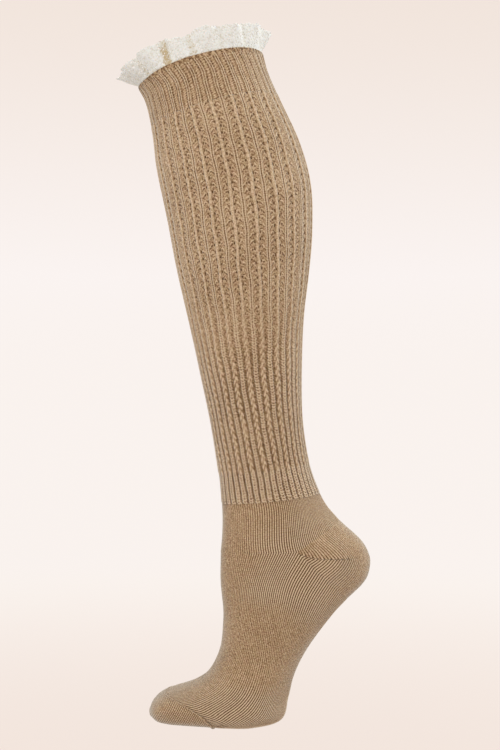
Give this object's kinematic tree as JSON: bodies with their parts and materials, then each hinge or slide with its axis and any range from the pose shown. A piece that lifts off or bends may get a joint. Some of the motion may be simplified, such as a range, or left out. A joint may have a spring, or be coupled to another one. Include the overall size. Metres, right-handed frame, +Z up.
{
  "type": "knee-high sock with a lace frill",
  "caption": "Knee-high ribbed and openwork knitted sock with a gathered lace frill round its top, hollow and shaped as worn on tiptoe.",
  "frame": {"origin": "centre of the leg opening, at the knitted rim, where the wearer's leg holds the sock up", "axes": "+Z up along the height of the sock, toes towards -X, heel towards +X, the sagittal plane at Y = 0"},
  "size_m": [0.2117, 0.1271, 0.5694],
  "materials": {
    "cotton_lace": "cream cotton lace, matt",
    "rib_knit": "camel cotton rib knit, matt",
    "openwork_knit": "camel cotton openwork knit, matt",
    "plain_knit": "camel cotton stocking stitch, matt"
  },
  "bodies": {
    "root": {"lace_frill": "cotton_lace", "cuff": "rib_knit", "leg": "openwork_knit", "ankle_rib": "rib_knit", "ankle": "plain_knit", "heel": "plain_knit", "foot": "plain_knit", "toe": "plain_knit"}
  },
  "joints": []
}
